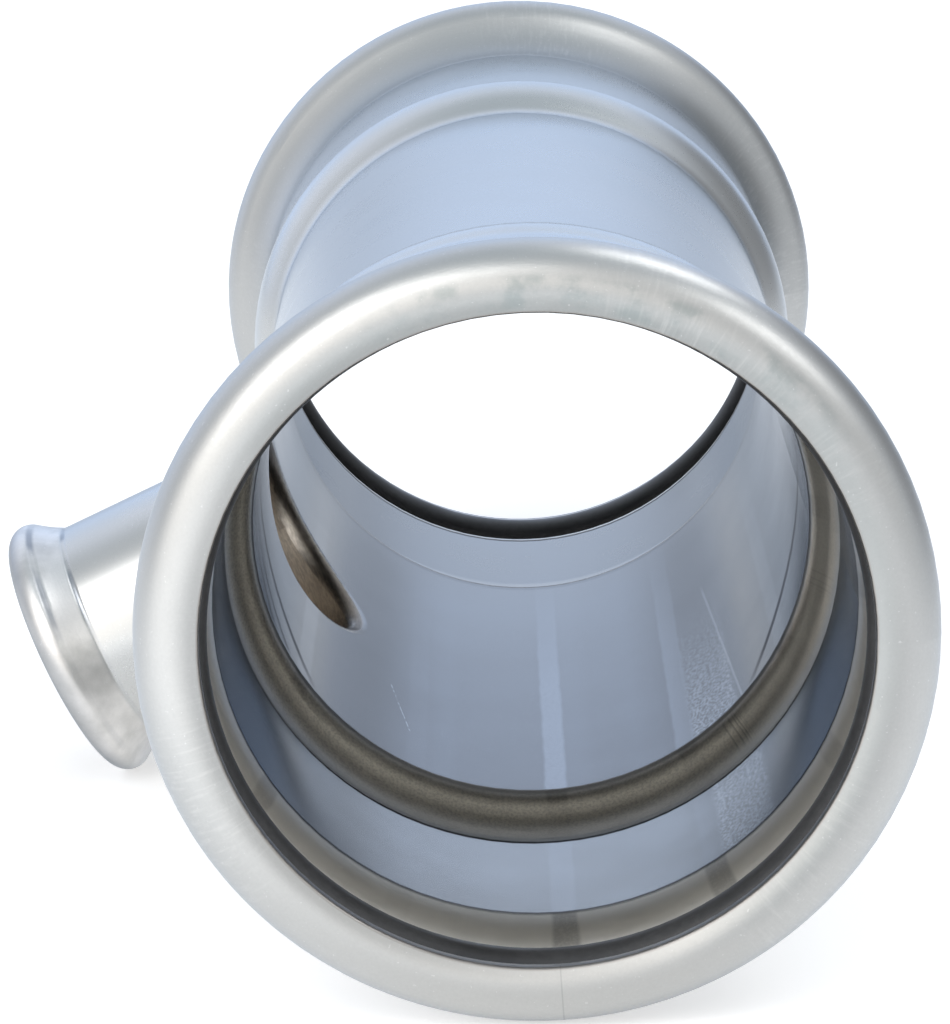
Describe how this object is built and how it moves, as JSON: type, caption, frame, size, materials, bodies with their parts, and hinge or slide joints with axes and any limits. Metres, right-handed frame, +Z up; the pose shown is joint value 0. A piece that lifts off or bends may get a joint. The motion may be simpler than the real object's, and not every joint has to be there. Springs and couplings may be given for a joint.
{
  "type": "reducing press tee",
  "caption": "Stainless reducing press tee: a straight run with a beaded press socket at each end, and a smaller branch socket standing out of its side at a right angle.",
  "frame": {"origin": "where the run's axis and the branch's axis meet, at the middle of the run", "axes": "+Y along the run towards its rear end, +Z up as the tee lies at rest, and the branch points to -X and down, at right angles to the run"},
  "size_m": [0.169, 0.3168, 0.133],
  "materials": {
    "stainless": "satin stainless tube, drawn and pickled, with fine brush marks round the beads",
    "seal_rubber": "matt black moulded rubber"
  },
  "bodies": {
    "root": {"tee_body": "stainless", "run_seal_front": "seal_rubber", "run_seal_rear": "seal_rubber", "branch_seal": "seal_rubber"}
  },
  "joints": []
}
